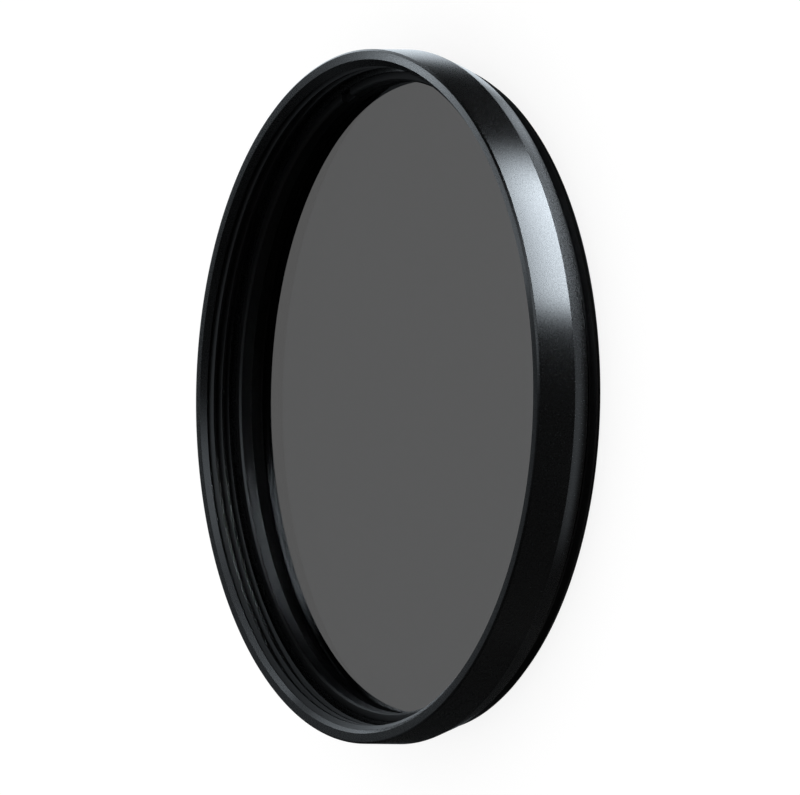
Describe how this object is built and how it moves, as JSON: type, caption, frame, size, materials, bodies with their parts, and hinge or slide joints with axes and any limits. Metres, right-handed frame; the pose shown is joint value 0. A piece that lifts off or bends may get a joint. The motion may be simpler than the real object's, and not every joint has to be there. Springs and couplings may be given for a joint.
{
  "type": "neutral density filter",
  "caption": "Screw-in neutral density filter: a disc of grey glass in a slim black threaded ring, held by a slotted retaining ring.",
  "frame": {"origin": "centre of the rear thread's end face, on which the filter lies", "axes": "+Z along the optical axis, from the rear thread to the front opening; +X and +Y across the ring"},
  "size_m": [0.054, 0.054, 0.0064],
  "materials": {
    "black_anodised_ring": "turned, bead blasted and anodised black, satin",
    "grey_glass": "polished neutral grey optical glass with a low-reflection coating",
    "black_retainer": "turned and anodised matt black"
  },
  "bodies": {
    "root": {"mount_ring": "black_anodised_ring", "glass_disc": "grey_glass", "retaining_ring": "black_retainer"}
  },
  "joints": []
}
